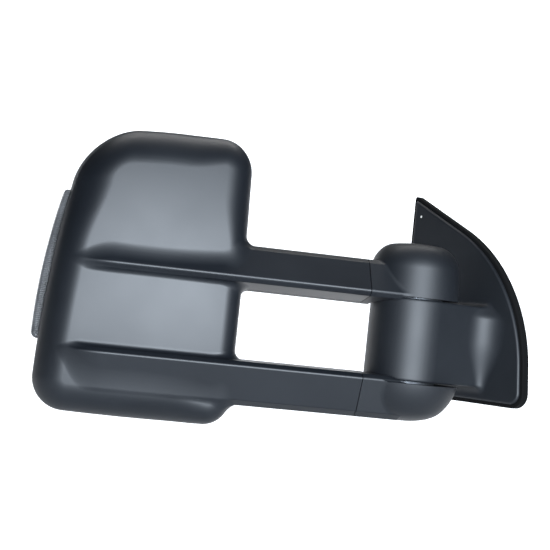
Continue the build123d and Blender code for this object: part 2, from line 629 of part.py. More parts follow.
with BuildPart() as head_shell:
    add(head_block(0))
    for which in SECTIONS:
        add(sleeve(which, 0, SLEEVE_X, SPEAR_BEND_X))
    add(head_cavity.part, mode=Mode.SUBTRACT)
    for which in SECTIONS:
        extrude(to_extrude=rail_section(SLEEVE_X + 1.0, which, RAIL_HOLE_GAP), amount=-5.0, mode=Mode.SUBTRACT)

with BuildPart() as front_bosses:
    with BuildSketch(facing(PLATE_Y - SEAT)):
        with Locations(*FRAME_SCREWS):
            Circle(BOSS_SMALL_R)
    extrude(amount=60.0)
    add(head_block(1.0), mode=Mode.INTERSECT)
    with BuildSketch(facing(PLATE_Y - SEAT)):
        with Locations(*FRAME_SCREWS):
            Circle(SCREW_R)
    extrude(amount=16.0, mode=Mode.SUBTRACT)

with BuildPart() as front_housing:
    add(head_shell.part)
    split(bisect_by=facing(SPLIT_Y - SPLIT_GAP), keep=Keep.TOP)
    add(front_bosses.part)
save(front_housing.part, "front_housing")

with BuildPart() as rear_housing:
    add(head_shell.part)
    split(bisect_by=facing(SPLIT_Y + SPLIT_GAP), keep=Keep.BOTTOM)
    add(lamp_form(-0.3, LAMP_TRAY_X + 4.0), mode=Mode.SUBTRACT)
    for which in ("main", "spotter"):
        extrude(to_extrude=opening(REAR_Y - 1.0, which, -COLLAR_T), amount=REAR_Y - 1.0 - COLLAR_Y)
    for which in ("main", "spotter"):
        extrude(to_extrude=opening(REAR_Y + 1.0, which, 0), amount=REAR_Y + 2.0 - COLLAR_Y, mode=Mode.SUBTRACT)
    with BuildSketch(facing(REAR_Y - WALL)):
        with Locations(*HOUSING_SCREWS):
            Circle(BOSS_SMALL_R)
    extrude(amount=REAR_Y - WALL - PLATE_Y - PLATE_T - SEAT)
    with BuildSketch(facing(PLATE_Y + PLATE_T)):
        with Locations(*HOUSING_SCREWS):
            Circle(SCREW_R)
    extrude(amount=-18.0, mode=Mode.SUBTRACT)
save(rear_housing.part, "rear_housing")

with BuildPart() as head_frame:
    with BuildSketch(facing(PLATE_Y + PLATE_T)):
        with Locations((-277.0, 38.0)):
            RectangleRounded(162.0, 268.0, 30.0)
        with Locations((-346.0, 86.0), (-222.0, 86.0)):
            RectangleRounded(12.0, 70.0, 5.0, mode=Mode.SUBTRACT)
        with Locations(*FRAME_SCREWS, *HOUSING_SCREWS, *ACTUATOR_SCREWS):
            Circle(SCREW_R + 0.2, mode=Mode.SUBTRACT)
    extrude(amount=PLATE_T)
    for which in RAIL_Z:
        for inner_x, outer_x in GUIDES:
            collar = rail_section(inner_x, which, RUN + BUSH_T + COLLAR_WALL)
            extrude(to_extrude=collar, amount=outer_x - inner_x)
            seat = rail_section(inner_x, which, RUN + BUSH_T + SEAT)
            extrude(to_extrude=seat, amount=outer_x - inner_x, mode=Mode.SUBTRACT)
save(head_frame.part, "head_frame")

with BuildPart() as slide_bushings:
    for which in RAIL_Z:
        for inner_x, outer_x in GUIDES:
            extrude(to_extrude=rail_section(inner_x, which, RUN + BUSH_T), amount=outer_x - inner_x)
            extrude(to_extrude=rail_section(inner_x, which, RUN), amount=outer_x - inner_x, mode=Mode.SUBTRACT)
save(slide_bushings.part, "slide_bushings")

save(pins_at(FRAME_SCREWS, facing(PLATE_Y + PLATE_T + SEAT), SCREW_R - SEAT, 16.0, SCREW_HEAD_R, SCREW_HEAD_T),
     "frame_screws")
save(pins_at(HOUSING_SCREWS, facing(PLATE_Y - SEAT), SCREW_R - SEAT, -18.0, SCREW_HEAD_R, -SCREW_HEAD_T),
     "housing_screws")

# ---------------------------------------------------------------- side lamp
with BuildPart() as lamp_lens:
    add(lamp_form(0, LAMP_RIM_X))
    add(lamp_form(LAMP_WALL, LAMP_RIM_X + 1.0), mode=Mode.SUBTRACT)
save(lamp_lens.part, "lamp_lens")

lamp_middle = ((LAMP_Y0 + LAMP_Y1) / 2, (LAMP_LOW + LAMP_HIGH) / 2)
lamp_w, lamp_h = LAMP_Y1 - LAMP_Y0, LAMP_HIGH - LAMP_LOW
with BuildPart() as lamp_housing:
    for start, depth, margin, mode in (
        (LAMP_TRAY_X, LAMP_RIM_X + SEAT - LAMP_TRAY_X, 0.0, Mode.ADD),
        (LAMP_RIM_X + 1.0, -3.0, 2 * (LAMP_WALL + SEAT), Mode.ADD),
        (LAMP_TRAY_X - LAMP_WALL, -12.0, 4 * LAMP_WALL, Mode.SUBTRACT),
    ):
        with BuildSketch(across(start)):
            with Locations(lamp_middle):
                RectangleRounded(lamp_w - margin, lamp_h - margin, 1.5)
        extrude(amount=depth, mode=mode)
save(lamp_housing.part, "lamp_housing")

with BuildPart() as lamp_board:
    with BuildSketch(across(LAMP_TRAY_X - LAMP_WALL - SEAT)):
        with Locations(lamp_middle):
            Rectangle(lamp_w - 5 * LAMP_WALL, lamp_h - 5 * LAMP_WALL)
    extrude(amount=-1.6)
save(lamp_board.part, "lamp_board")

with BuildPart() as lamp_leds:
    with BuildSketch(across(LAMP_TRAY_X - LAMP_WALL - 1.6 - 2 * SEAT)):
        with Locations(*[(lamp_middle[0], z) for z in LED_SPOTS]):
            Rectangle(3.6, 3.6)
    extrude(amount=-1.2)
save(lamp_leds.part, "lamp_leds")

# ---------------------------------------------------------------- glass actuator
pan_spot = (MAIN_AT[0] - DRIVE_ARM, MAIN_AT[1])
tilt_spot = (MAIN_AT[0], MAIN_AT[1] - DRIVE_ARM)
case_y = PLATE_Y + PLATE_T + SEAT
lid_y = case_y + ACTUATOR_DEPTH + SEAT
with BuildPart() as actuator_case:
    with BuildSketch(facing(case_y)):
        with Locations(MAIN_AT):
            RectangleRounded(ACTUATOR_W, ACTUATOR_W, ACTUATOR_CORNER)
    extrude(amount=-ACTUATOR_DEPTH)
    with BuildSketch(facing(case_y + 2.4)):
        with Locations(MAIN_AT):
            RectangleRounded(ACTUATOR_W - 4.0, ACTUATOR_W - 4.0, ACTUATOR_CORNER - 2.0)
    extrude(amount=-ACTUATOR_DEPTH, mode=Mode.SUBTRACT)
    with BuildSketch(facing(case_y)):
        with Locations(*ACTUATOR_SCREWS):
            Circle(4.0)
    extrude(amount=-ACTUATOR_DEPTH)
    with BuildSketch(facing(case_y)):
        with Locations(*ACTUATOR_SCREWS):
            Circle(SCREW_R + 0.2)
    extrude(amount=-ACTUATOR_DEPTH, mode=Mode.SUBTRACT)
save(actuator_case.part, "actuator_case")

with BuildPart() as actuator_lid:
    with BuildSketch(facing(lid_y)):
        with Locations(MAIN_AT):
            RectangleRounded(ACTUATOR_W, ACTUATOR_W, ACTUATOR_CORNER)
        with Locations(*ACTUATOR_SCREWS):
            Circle(SCREW_R + 0.2, mode=Mode.SUBTRACT)
        with Locations(pan_spot, tilt_spot):
            Circle(SPINDLE_R + RUN, mode=Mode.SUBTRACT)
    extrude(amount=-LID_T)
    add(gimbal_post(MAIN_AT, lid_y + LID_T, MAIN_GIMBAL))
save(actuator_lid.part, "actuator_lid")

save(pins_at(ACTUATOR_SCREWS, facing(lid_y + LID_T + SEAT), SCREW_R - SEAT, lid_y + LID_T - PLATE_Y - 1.8,
             SCREW_HEAD_R, SCREW_HEAD_T), "actuator_screws")

for name, spot in (("pan", pan_spot), ("tilt", tilt_spot)):
    with BuildPart() as spindle:
        with BuildSketch(facing(SPINDLE_LOW)):
            with Locations(spot):
                Circle(SPINDLE_R)
        extrude(amount=SPINDLE_LOW - GIMBAL_Y + 4.0)
        with BuildSketch(facing(GIMBAL_Y)):
            with Locations(spot):
                Circle(2.0)
        extrude(amount=5.0)
        with Locations(PIVOT + Vector(spot[0], GIMBAL_Y, spot[1])):
            Sphere(SPINDLE_BALL)
    save(spindle.part, f"{name}_spindle")

    with BuildPart() as gear:
        with BuildSketch(facing(GEAR_Y + GEAR_T)):
            with Locations(spot):
                Circle(GEAR_R - 1.2)
                with PolarLocations(GEAR_R - 1.2, GEAR_TEETH):
                    Rectangle(2.4, 1.1)
                Circle(SPINDLE_R + RUN, mode=Mode.SUBTRACT)
        extrude(amount=GEAR_T)
    save(gear.part, f"{name}_gear")

with BuildPart() as motors:
    worm_gap = GEAR_R + WORM_R + 0.4
    shafts = (
        (level(pan_spot[1] - 10.0), (pan_spot[0] + worm_gap, GEAR_Y + GEAR_T / 2)),
        (across(tilt_spot[0] - 10.0), (GEAR_Y + GEAR_T / 2, tilt_spot[1] + worm_gap)),
    )
    for plane, at in shafts:
        with BuildSketch(plane):
            with Locations(at):
                Circle(WORM_R)
        extrude(amount=24.0)
        with BuildSketch(plane.offset(22.0)):
            with Locations(at):
                Circle(MOTOR_R)
        extrude(amount=26.0)
save(motors.part, "drive_motors")

# ---------------------------------------------------------------- glasses
save(gimbal_ring(MAIN_AT, MAIN_GIMBAL), "main_gimbal_ring")
save(gimbal_ring(SPOTTER_AT, SPOTTER_GIMBAL), "spotter_gimbal_ring")

with BuildPart() as main_carrier:
    add(glass_carrier("main", MAIN_AT, MAIN_GIMBAL))
    with BuildSketch(facing(CARRIER_Y)):
        with Locations(pan_spot, tilt_spot):
            Circle(7.0)
    extrude(amount=CARRIER_Y - GIMBAL_Y + 1.5)
    with BuildSketch(facing(GIMBAL_Y + SPINDLE_BALL + 0.2)):
        with Locations(pan_spot, tilt_spot):
            Circle(SPINDLE_BALL + 1.4)
    extrude(amount=10.0, mode=Mode.SUBTRACT)
save(main_carrier.part, "main_glass_carrier")
save(glass_carrier("spotter", SPOTTER_AT, SPOTTER_GIMBAL), "spotter_glass_carrier")

film_y = CARRIER_Y + CARRIER_T + SEAT + FILM_T
for which in ("main", "spotter"):
    save(sheet(which, film_y, FILM_T, GLASS_GAP + 4.0), f"{which}_heater_film")
    save(sheet(which, film_y + SEAT + GLASS_T, GLASS_T, GLASS_GAP), f"{which}_glass")

with BuildPart() as spotter_mount:
    with BuildSketch(facing(case_y + 3.0)):
        with Locations(SPOTTER_AT):
            Circle(20.0)
    extrude(amount=3.0)
    add(gimbal_post(SPOTTER_AT, case_y + 3.0, SPOTTER_GIMBAL))
save(spotter_mount.part, "spotter_mount")

# ---------------------------------------------------------------- wiring held inside the head
with BuildPart() as connector:
    with BuildSketch(facing(case_y)):
        with Locations(PLUG_AT):
            RectangleRounded(14.0, 22.0, 1.5)
    extrude(amount=-9.0)
save(connector.part, "head_connector")

plug_x = PLUG_AT[0] - 7.0 - SEAT
lead_routes = {
    "actuator": [(-262.0, MAIN_AT[1] - ACTUATOR_W / 2 - SEAT), (-262.0, 22.0), (plug_x, 22.0)],
    "lamp": [(LAMP_TRAY_X + SEAT, 38.0), (-346.0, 38.0), (-346.0, 13.0), (plug_x, 13.0)],
}
for name, corners in lead_routes.items():
    with BuildPart() as lead:
        with BuildLine(facing(case_y + 4.0)) as route:
            FilletPolyline(*corners, radius=8.0)
        with BuildSketch(Plane(origin=route.line @ 0, z_dir=route.line % 0)):
            Circle(LEAD_R)
        sweep()
    save(lead.part, f"{name}_lead")
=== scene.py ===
import math

import bpy
import numpy as np
from mathutils import Matrix, Vector


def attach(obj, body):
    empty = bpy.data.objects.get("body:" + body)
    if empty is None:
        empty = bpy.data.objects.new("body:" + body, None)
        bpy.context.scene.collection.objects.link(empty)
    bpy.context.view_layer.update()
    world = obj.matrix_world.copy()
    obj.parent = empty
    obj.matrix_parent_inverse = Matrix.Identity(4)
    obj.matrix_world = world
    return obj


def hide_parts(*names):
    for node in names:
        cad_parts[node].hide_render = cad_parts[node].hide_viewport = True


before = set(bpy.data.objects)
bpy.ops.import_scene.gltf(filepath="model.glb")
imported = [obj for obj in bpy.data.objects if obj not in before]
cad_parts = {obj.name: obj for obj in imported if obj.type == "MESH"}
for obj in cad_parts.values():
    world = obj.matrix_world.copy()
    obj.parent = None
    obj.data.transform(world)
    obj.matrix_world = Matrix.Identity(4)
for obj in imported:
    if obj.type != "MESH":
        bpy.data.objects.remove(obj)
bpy.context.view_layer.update()

# A towing mirror seen from the truck's nose. Shapes are in millimetres from the fold axis, level
# with the barrel's middle: x towards the truck, y towards the tail, z up. On the door, t runs
# forwards and h outwards. The camera, the lights and the set are in the frame's own metres.
MM = 0.001
SWEEP = math.radians(30.0)  # how far the door face is turned from the plane of the picture
STANDOFF = 84.0             # from the door face to the fold axis
LEAN = np.array([math.cos(SWEEP), math.sin(SWEEP)])
AXIS = np.array([-STANDOFF * LEAN[0], -STANDOFF * LEAN[1], 0.0])
DOOR_TURN = np.array([[LEAN[1], -LEAN[0], 0.0], [-LEAN[0], -LEAN[1], 0.0], [0.0, 0.0, 1.0]])
WALL = 3.6       # moulded shells
GAP = 0.2        # clearance from the parting plane
SPLIT = -8.0     # y of the plane where the head's two housings meet
BORE_R = 33.5    # hole through the barrel and both knuckle covers
BARREL_R = 44.0


# ------------------------------------------------------------------ signed fields
def length(*v):
    return np.sqrt(sum(c * c for c in v))


def join(a, b, r):
    """Union with a concave fillet of radius r."""
    u, v = np.maximum(r - a, 0.0), np.maximum(r - b, 0.0)
    return np.maximum(r, np.minimum(a, b)) - length(u, v)


def meet(a, b, r):
    """Intersection with a convex round of radius r."""
    u, v = np.maximum(r + a, 0.0), np.maximum(r + b, 0.0)
    return np.minimum(-r, np.maximum(a, b)) + length(u, v)


def ramp(lo, hi, v):
    """Smooth step from 0 at lo to 1 at hi."""
    t = np.clip((v - lo) / (hi - lo), 0.0, 1.0)
    return t * t * (3.0 - 2.0 * t)


def circle_by(p, q, r):
    """Centre and radius of the circle through three points."""
    (ax, ay), (bx, by), (cx, cy) = p, q, r
    d = 2.0 * (ax * (by - cy) + bx * (cy - ay) + cx * (ay - by))
    sa, sb, sc = ax * ax + ay * ay, bx * bx + by * by, cx * cx + cy * cy
    x = (sa * (by - cy) + sb * (cy - ay) + sc * (ay - by)) / d
    y = (sa * (cx - bx) + sb * (ax - cx) + sc * (bx - ax)) / d
    return x, y, math.hypot(ax - x, ay - y)


def bow(circle, x, z):
    """Signed distance to a circle, negative inside."""
    cx, cz, r = circle
    return length(x - cx, z - cz) - r


def shrunk(corners, r):
    """A convex outline with every side moved in by r."""
    sides = list(zip(corners, corners[1:] + corners[:1]))
    turn = math.copysign(1.0, sum(x0 * y1 - x1 * y0 for (x0, y0), (x1, y1) in sides))
    lines = []
    for (x0, y0), (x1, y1) in sides:
        m = math.hypot(x1 - x0, y1 - y0)
        nx, ny = turn * (y1 - y0) / m, -turn * (x1 - x0) / m
        lines.append((nx, ny, nx * x0 + ny * y0 - r))
    out = []
    for (ax, ay, ar), (bx, by, br) in zip(lines[-1:] + lines[:-1], lines):
        d = ax * by - bx * ay
        out.append(((ar * by - br * ay) / d, (ax * br - bx * ar) / d))
    return out


def polygon(corners, u, v):
    """Signed distance to a closed outline."""
    best, sign = np.inf, 1.0
    for (ax, ay), (bx, by) in zip(corners, corners[-1:] + corners[:-1]):
        ex, ey = bx - ax, by - ay
        wx, wy = u - ax, v - ay
        t = np.clip((wx * ex + wy * ey) / (ex * ex + ey * ey), 0.0, 1.0)
        best = np.minimum(best, (wx - ex * t) ** 2 + (wy - ey * t) ** 2)
        c1, c2, c3 = v >= ay, v < by, ex * wy > ey * wx
        sign = np.where((c1 & c2 & c3) | (~c1 & ~c2 & ~c3), -sign, sign)
    return sign * np.sqrt(best)


# ------------------------------------------------------------------ head and arm sleeves
# The head's outline from the front: three sides are arcs through three places each
OUTER = circle_by((-391, -107), (-383.5, 35), (-360, 182))
TOP = circle_by((-360, 180.5), (-268, 189.5), (-190, 187))
FOOT = circle_by((-391, -107), (-285, -109), (-187, -108))
INNER_X = -187.0
TOP_OUTER_R, TOP_INNER_R, FOOT_OUTER_R, FOOT_INNER_R = 52.0, 33.0, 34.0, 27.0
FRONT_DRAFT, REAR_DRAFT = 0.105, 0.0527
CROWN_R = 1100.0                   # the front bulges as part of a large ball
CROWN_TOP = (-290.0, -38.0, 25.0)  # where the ball comes furthest forward
EDGE_R, EDGE_FULLER, EDGE_TIGHTER = 27.0, 9.0, 10.0
REAR_Y, REAR_ROUND = 66.0, 4.0

SEAM_X = -57.0      # where the arm sleeves meet the knuckle covers
SLEEVE_X = -57.8
END_WALL = 2.2      # walls that close the sleeves and the stubs
BEND_X = {"upper": -319.0, "lower": -322.0}  # where each sleeve starts to dive into the head
DIVE_RUN, DIVE_R = 56.0, 72.0
TIP_X = -371.0
CREST_R = 2.8
ARM_FILLET = 5.0
# The sleeves' sections, as (y, z)
UPPER = [(-46, 46.5), (-25, 76), (-15, 80), (0, 80), (7, 73), (7, 39), (2, 33), (-41, 41)]
LOWER = [(-46, -43.5), (-41, -39), (2, -38), (7, -43), (7, -78), (0, -85), (-22, -85), (-31, -79)]
CORES = {"upper": shrunk(UPPER, CREST_R), "lower": shrunk(LOWER, CREST_R)}

RAIL_Y, RAIL_Z = -12.4, (61.0, -61.0)
RAIL_HALF_Y, RAIL_HALF_Z, RAIL_ROUND = 8.0, 7.5, 4.0  # the holes' straight halves and corner round
SLEEVE_HOLE_X, STUB_HOLE_X = -70.0, -50.0             # how far in the rail holes reach


def head_plan(x, z):
    """The head's outline seen from the front."""
    left, top, foot, right = bow(OUTER, x, z), bow(TOP, x, z), bow(FOOT, x, z), x - INNER_X
    d = np.maximum(meet(left, top, TOP_OUTER_R), meet(right, top, TOP_INNER_R))
    return np.maximum(d, np.maximum(meet(left, foot, FOOT_OUTER_R), meet(right, foot, FOOT_INNER_R)))


def head_body(x, y, z):
    draft = np.where(y < SPLIT, (SPLIT - y) * FRONT_DRAFT, (y - SPLIT) * REAR_DRAFT)
    plan = head_plan(x, z) + draft
    cx, cy, cz = CROWN_TOP
    crown = length(x - cx, y - cy - CROWN_R, z - cz) - CROWN_R
    # The front edge is fuller towards the head's top and tighter towards its inner side
    edge_r = EDGE_R + EDGE_FULLER * ramp(60.0, 130.0, z) - EDGE_TIGHTER * ramp(-255.0, -200.0, x)
    return np.maximum(meet(plan, crown, edge_r), meet(plan, y - REAR_Y, REAR_ROUND))


def arm_bar(which, x, y, z):
    """An arm sleeve whose crest dives into the head towards the outer edge."""
    run = np.clip(BEND_X[which] - x, 0.0, DIVE_RUN)
    dive = DIVE_R - np.sqrt(DIVE_R ** 2 - run ** 2)
    return np.maximum(polygon(CORES[which], y - dive, z + 0.0 * x) - CREST_R, TIP_X - x)


def rail_hole(x, y, z):
    holes = []
    for rail_z in RAIL_Z:
        qy, qz = np.abs(y - RAIL_Y) - RAIL_HALF_Y, np.abs(z - rail_z) - RAIL_HALF_Z
        outside = length(np.maximum(qy, 0.0), np.maximum(qz, 0.0))
        holes.append(outside + np.minimum(np.maximum(qy, qz), 0.0) - RAIL_ROUND)
    return np.minimum(*holes)


def head_skin(x, y, z):
    fillet = ARM_FILLET + ARM_FILLET * ramp(-214.0, -192.0, x)  # twice as wide at the head's inner side
    skin = join(head_body(x, y, z), arm_bar("upper", x, y, z), fillet)
    return join(skin, arm_bar("lower", x, y, z), fillet)


def head_shell(x, y, z):
    skin = head_skin(x, y, z)
    cavity = np.maximum(skin + WALL, x - SLEEVE_X + END_WALL)
    shell = np.maximum(np.maximum(skin, x - SLEEVE_X), -cavity)
    return np.maximum(shell, -np.maximum(rail_hole(x, y, z), SLEEVE_HOLE_X - x))


def front_field(x, y, z):
    return np.maximum(head_shell(x, y, z), y - SPLIT + GAP)


# ------------------------------------------------------------------ rear housing and side lamp
MAIN_FOOT_Z, SPOTTER_TOP_Z = -6.0, -18.0   # the divider between the two glasses
BEZEL, OPENING_R, RIM_ROUND = 12.0, 9.0, 1.2
COLLAR, COLLAR_FRONT_Y, COLLAR_REAR_Y, OPENING_Y = 3.2, 34.0, 65.0, 32.0

LAMP_BOW = circle_by((-377.6, 117), (-391.5, 40), (-396.2, -30))
LAMP_TOP_Z, LAMP_FOOT_Z = 117.0, -38.0
LAMP_TOP_R, LAMP_FOOT_R, LAMP_ROUND = 3.0, 7.0, 3.5
LAMP_Y, LAMP_HALF = 12.5, 13.5
LAMP_POCKET_X, LAMP_POCKET_GAP = -361.0, 0.4
LENS_BACK_X, LENS_WALL = -372.0, 2.6
RIB_PITCH, RIB_DEPTH, RIB_BASE = 1.9, 0.42, 0.45
RIB_FADE = 4.0  # over which the ribs fade in at either end


def opening(x, z, which):
    """A glass opening's outline, inside the head's by the width of the bezel."""
    edge = MAIN_FOOT_Z - z if which == "main" else z - SPOTTER_TOP_Z
    return meet(head_plan(x, z) + BEZEL, edge + 0.0 * x, OPENING_R)


def lamp_body(x, y, z):
    plan = meet(bow(LAMP_BOW, x, z), z - LAMP_TOP_Z, LAMP_TOP_R)
    plan = meet(plan, LAMP_FOOT_Z - z, LAMP_FOOT_R)
    return meet(plan, np.abs(y - LAMP_Y) - LAMP_HALF, LAMP_ROUND)


def rear_field(x, y, z):
    holes = np.minimum(opening(x, z, "main"), opening(x, z, "spotter")) + 0.0 * y
    collars = np.maximum(np.maximum(holes - COLLAR, COLLAR_FRONT_Y - y), y - COLLAR_REAR_Y)
    shell = np.minimum(head_shell(x, y, z), collars)
    shell = meet(shell, -np.maximum(holes, OPENING_Y - y), RIM_ROUND)
    pocket = np.maximum(lamp_body(x, y, z), x - LAMP_POCKET_X) - LAMP_POCKET_GAP
    return np.maximum(np.maximum(shell, -pocket), SPLIT + GAP - y)


def lens_field(x, y, z):
    low, high = LAMP_FOOT_Z + 2.0, LAMP_TOP_Z - 2.0
    fade = ramp(low, low + RIB_FADE, z) * ramp(high, high - RIB_FADE, z)
    ribs = RIB_DEPTH * np.cos(2.0 * math.pi * z / RIB_PITCH) * fade
    outer = lamp_body(x, y, z)
    shell = np.maximum(outer + RIB_BASE + ribs, -(outer + LENS_WALL))
    return np.maximum(shell, x - LENS_BACK_X)


# ------------------------------------------------------------------ knuckle covers
KNUCKLE_Z = 45.0     # the covers start this far above and below the barrel's middle
DOME_R, DOME_DRAFT, DOME_TOP_Z, DOME_CROWN_R, DOME_EDGE_R = 49.0, 0.0676, 103.0, 160.0, 19.0
BOWL_R, BOWL_Z, BOWL_FOOT_Z, BOWL_EDGE_R = 57.6, -33.7, -90.0, 16.0
STUB_ROOT_X, STUB_CLEAR_R, STUB_FILLET = -10.0, 48.0, 2.0
COVER_FLOOR, FLOOR_REACH = 2.4, 5.0


def knuckle_field(which, x, y, z):
    rho = length(x, y)
    if which == "upper":
        side = rho - (DOME_R - (z - KNUCKLE_Z) * DOME_DRAFT)
        crown = length(rho, z - DOME_TOP_Z + DOME_CROWN_R) - DOME_CROWN_R
        lump = meet(side, crown, DOME_EDGE_R)
        floor = KNUCKLE_Z - z
    else:
        lump = meet(length(rho, z - BOWL_Z) - BOWL_R, BOWL_FOOT_Z - z, BOWL_EDGE_R)
        floor = z + KNUCKLE_Z
    stub = np.maximum(arm_bar(which, x, y, z), x - STUB_ROOT_X)
    stub = np.maximum(stub, -np.maximum(rho - STUB_CLEAR_R, -floor))
    solid = join(np.maximum(lump, floor), stub, STUB_FILLET)
    cavity = np.maximum(np.maximum(solid + WALL, SEAM_X + END_WALL - x), floor + COVER_FLOOR)
    shell = np.maximum(np.maximum(solid, SEAM_X - x), -cavity)
    shell = np.maximum(shell, -np.maximum(rho - BORE_R, -floor - FLOOR_REACH))
    return np.maximum(shell, -np.maximum(rail_hole(x, y, z), x - STUB_HOLE_X))


def upper_knuckle_field(x, y, z):
    return knuckle_field("upper", x, y, z)


def lower_knuckle_field(x, y, z):
    return knuckle_field("lower", x, y, z)


# ------------------------------------------------------------------ sail and gasket, in t, h and z
SLOPE, FALL = math.radians(26.0), math.radians(84.0)  # the bow's turn at its rear and front ends
BEND_T, BEND_Z = -4.0, 126.5                          # where the straight slope becomes the bow
BOW_R = 180.0
BOW_T, BOW_Z = BEND_T - BOW_R * math.sin(SLOPE), BEND_Z - BOW_R * math.cos(SLOPE)
REAR_T, FOOT_Z = -80.0, -59.0
PEAK_R, TOE_R, HEEL_R = 3.0, 16.0, 10.0
LIP = 2.6                                             # gasket that shows round the sail cover
SEAT_H, SEAT_BITE = 5.0, 0.05                         # the cover's foot, and its bite into the gasket
PLATE_H, PLATE_ROUND = 12.0, 2.5
NECK_Z, NECK_HALF, NECK_ROUND = 0.3, 42.9, 2.0
FLARE_R, FLARE_WIDER = 9.0, 18.0
CLIP_T, CLIP_Z, CLIP_R = -67.0, 141.0, 1.4
GASKET_OUT, GASKET_H, GASKET_ROUND, GASKET_LIP = 1.5, 9.0, 1.0, 9.0


def sail_plan(t, z):
    """The sail's outline on the door."""
    wt, wz = t - BOW_T, z - BOW_Z
    arc = length(wt, wz) - BOW_R
    slope = wt * math.sin(SLOPE) + wz * math.cos(SLOPE) - BOW_R
    fall = wt * math.sin(FALL) + wz * math.cos(FALL) - BOW_R
    edge = np.where(wt * math.cos(SLOPE) - wz * math.sin(SLOPE) < 0, slope, arc)
    edge = np.where(wt * math.cos(FALL) - wz * math.sin(FALL) > 0, fall, edge)
    plan = np.maximum(meet(edge, REAR_T - t, PEAK_R), meet(edge, FOOT_Z - z, TOE_R))
    return np.maximum(plan, meet(REAR_T - t, FOOT_Z - z, HEEL_R))


def cover_skin(t, h, z):
    plate = meet(sail_plan(t, z) + LIP, h - PLATE_H, PLATE_ROUND)
    web = np.where(h < STANDOFF, np.abs(t) + 0.0 * h, np.inf)
    neck = np.minimum(length(t, STANDOFF - h), web) - BARREL_R
    neck = meet(neck, np.abs(z - NECK_Z) - NECK_HALF, NECK_ROUND)
    # The flare from the plate into the neck is widest at mid-height
    flare = FLARE_R + FLARE_WIDER * ramp(-46.0, 8.0, z) * (1.0 - ramp(30.0, 48.0, z))
    return join(plate, neck, flare)


def cover_field(t, h, z):
    skin = cover_skin(t, h, z)
    shell = np.maximum(np.maximum(skin, SEAT_H - h), -(skin + WALL))
    shell = np.maximum(shell, -(length(t, STANDOFF - h) - BORE_R))
    return np.maximum(shell, -(length(t - CLIP_T, z - CLIP_Z) - CLIP_R))


def gasket_field(t, h, z):
    plan = sail_plan(t, z)
    lip = meet(plan - GASKET_OUT, h - GASKET_H, GASKET_ROUND)
    pocket = np.maximum(plan + LIP - SEAT_BITE, SEAT_H + SEAT_BITE - h)
    ring = np.maximum(np.maximum(lip, -h), -pocket)
    return np.maximum(ring, -np.maximum(plan + GASKET_LIP, h - SEAT_H))


# ------------------------------------------------------------------ meshing
GRID = 1.33               # spacing scale of all the grids
SEAM_STEP = 0.9 / GRID    # fine steps by the sleeve seams
RIB_STEP = RIB_PITCH / 4.0 / GRID
FLAT_PULL = 0.03          # keeps the vertices of flat cells near their middle
NORMAL_INSET = 0.3        # how far into its face a corner's normal is read


def steps(*marks):
    """Grid lines through (place, spacing) marks, the spacing changing evenly between them."""
    marks = [(place, spacing * GRID) for place, spacing in marks]
    out = [marks[0][0]]
    for (a, ga), (b, gb) in zip(marks, marks[1:]):
        n = max(1, int(round(2.0 * (b - a) / (ga + gb))))
        k = np.arange(1, n + 1) / n
        out.extend(a + (b - a) * (k * ga + 0.5 * (gb - ga) * k * k) / (0.5 * (ga + gb)))
    return np.array(out)


def slope_of(field, p, e=0.02):
    """Unit gradient of a field at places p, by differences over e either way."""
    g = np.empty_like(p)
    for i in range(3):
        d = np.zeros(3)
        d[i] = e
        g[:, i] = field(*(p + d).T) - field(*(p - d).T)
    return g / np.maximum(np.linalg.norm(g, axis=1, keepdims=True), 1e-12)


def close_in(field, p0, p1, v0, v1):
    """Where the field crosses zero between p0 and p1, by false position."""
    for _ in range(3):
        p = p0 + (p1 - p0) * np.clip(v0 / (v0 - v1), 0.02, 0.98)[:, None]
        v = field(*p.T)
        same = (v < 0) == (v0 < 0)
        p0, p1 = np.where(same[:, None], p, p0), np.where(same[:, None], p1, p)
        v0, v1 = np.where(same, v, v0), np.where(same, v1, v)
    return p0 + (p1 - p0) * np.clip(v0 / (v0 - v1), 0.0, 1.0)[:, None]


def crossings(field, axes, value, a):
    """Grid edges along axis a that cross the surface: the four cells round each, place and normal."""
    b, c = (a + 1) % 3, (a + 2) % 3
    shape = np.array(value.shape) - 1
    inside = np.moveaxis(value < 0, a, 0)
    at = np.argwhere(np.moveaxis(inside[:-1] != inside[1:], 0, a))
    at = at[(at[:, b] > 0) & (at[:, c] > 0) & (at[:, b] < shape[b]) & (at[:, c] < shape[c])]
    after = at.copy()
    after[:, a] += 1
    start = value[tuple(at.T)]
    ends = [np.stack([axes[i][index[:, i]] for i in range(3)], 1) for index in (at, after)]
    p = close_in(field, *ends, start, value[tuple(after.T)])
    cells = []
    for db, dc in ((1, 1), (0, 1), (0, 0), (1, 0)):
        cell = at.copy()
        cell[:, b] -= db
        cell[:, c] -= dc
        cells.append(np.ravel_multi_index(tuple(cell.T), tuple(shape)))
    cells = np.stack(cells, 1)
    cells = np.where((start < 0)[:, None], cells, cells[:, ::-1])
    return cells, p, slope_of(field, p)


